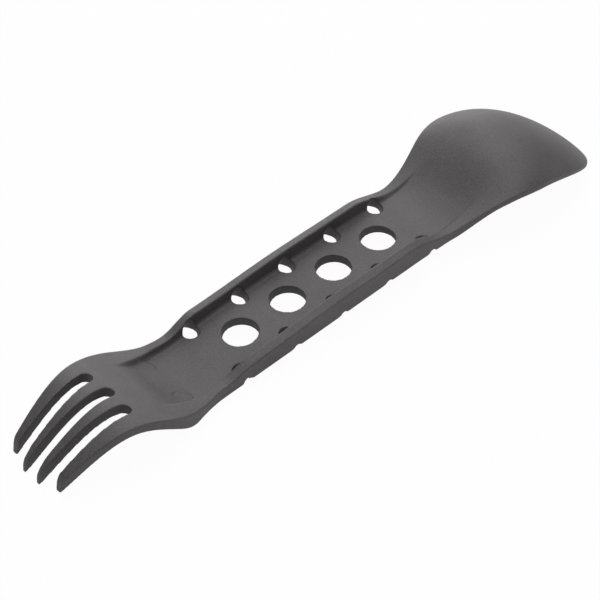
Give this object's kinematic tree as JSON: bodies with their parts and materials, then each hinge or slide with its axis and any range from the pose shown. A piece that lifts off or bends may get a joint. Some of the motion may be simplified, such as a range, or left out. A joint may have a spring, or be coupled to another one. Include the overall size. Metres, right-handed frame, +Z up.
{
  "type": "camping fork and spoon",
  "caption": "Double-ended moulded camping utensil: a tined fork at one end, a spoon at the other, joined by a channelled handle with through holes.",
  "frame": {"origin": "on the ground plane, under the middle of the object's bounding box", "axes": "+X along the utensil towards the spoon, +Z up as it lies back side up on its fork and spoon tips, +Y to the left of the handle seen from above, looking towards the spoon"},
  "size_m": [0.1682, 0.034, 0.0159],
  "materials": {
    "plastic": "matte, fine moulded grain"
  },
  "bodies": {
    "root": {"tine_outer_right": "plastic", "tine_inner_right": "plastic", "tine_inner_left": "plastic", "tine_outer_left": "plastic", "fork_head": "plastic", "channel_floor": "plastic", "left_rail": "plastic", "right_rail": "plastic", "spoon_neck": "plastic", "spoon_bowl": "plastic"}
  },
  "joints": []
}
